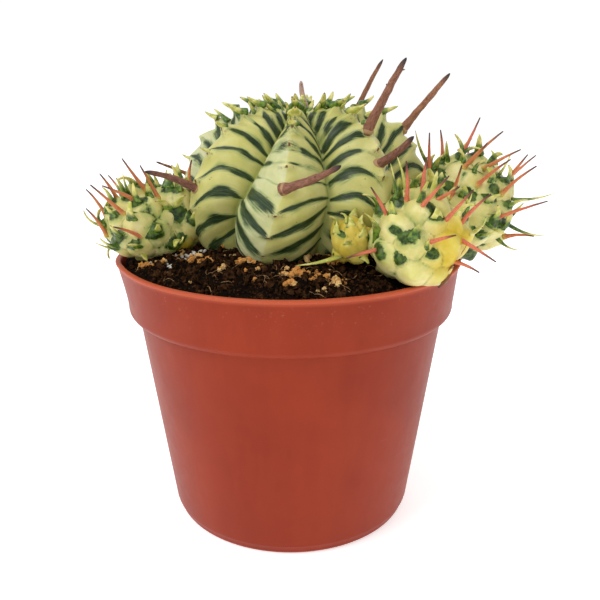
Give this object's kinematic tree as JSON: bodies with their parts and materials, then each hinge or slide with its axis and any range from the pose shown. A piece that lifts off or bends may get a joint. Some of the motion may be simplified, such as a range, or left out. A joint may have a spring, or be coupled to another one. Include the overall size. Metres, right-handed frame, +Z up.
{
  "type": "potted euphorbia",
  "caption": "Ribbed, variegated succulent with round offsets, old flower stalks and spines, growing in soil in a tapered plastic nursery pot.",
  "frame": {"origin": "on the pot's axis, in the flat plane of its base", "axes": "+Z up along the pot's axis, -Y towards the side the plant is seen from, +X to that viewer's right"},
  "size_m": [0.1341, 0.1053, 0.1411],
  "materials": {
    "pot_plastic": "satin",
    "peat": "matte",
    "grain": "matte",
    "stem_skin": "satin",
    "offset_skin": "satin",
    "leaf": "satin",
    "old_stalk": "matte",
    "spine": "matte"
  },
  "bodies": {
    "root": {"front_right_pup": "offset_skin", "front_right_pup_spine_1": "spine", "front_right_pup_spine_10": "spine", "front_right_pup_spine_11": "spine", "front_right_pup_spine_2": "spine", "front_right_pup_spine_3": "spine", "front_right_pup_spine_4": "spine", "front_right_pup_spine_5": "spine", "front_right_pup_spine_6": "spine", "front_right_pup_spine_7": "spine", "front_right_pup_spine_8": "spine", "front_right_pup_spine_9": "spine", "grain_1": "grain", "grain_2": "grain", "leaf_1": "leaf", "leaf_2": "leaf", "leaf_3": "leaf", "leaf_4": "leaf", "leaf_5": "leaf", "leaf_6": "leaf", "left_inner_pup": "offset_skin", "left_inner_pup_spine_1": "spine", "left_pup": "offset_skin", "left_pup_spine_1": "spine", "left_pup_spine_2": "spine", "left_pup_spine_3": "spine", "left_pup_spine_4": "spine", "left_pup_spine_5": "spine", "left_pup_spine_6": "spine", "left_pup_spine_7": "spine", "left_pup_spine_8": "spine", "left_pup_spine_9": "spine", "main_stem": "stem_skin", "peduncle_1": "old_stalk", "peduncle_2": "old_stalk", "peduncle_3": "old_stalk", "peduncle_4": "old_stalk", "peduncle_5": "old_stalk", "peduncle_6": "old_stalk", "peduncle_7": "old_stalk", "peduncle_8": "old_stalk", "peduncle_9": "old_stalk", "pot": "pot_plastic", "rear_right_pup": "offset_skin", "rear_right_pup_spine_1": "spine", "rear_right_pup_spine_10": "spine", "rear_right_pup_spine_11": "spine", "rear_right_pup_spine_12": "spine", "rear_right_pup_spine_13": "spine", "rear_right_pup_spine_14": "spine", "rear_right_pup_spine_2": "spine", "rear_right_pup_spine_3": "spine", "rear_right_pup_spine_4": "spine", "rear_right_pup_spine_5": "spine", "rear_right_pup_spine_6": "spine", "rear_right_pup_spine_7": "spine", "rear_right_pup_spine_8": "spine", "rear_right_pup_spine_9": "spine", "small_pup": "offset_skin", "soil": "peat"}
  },
  "joints": []
}
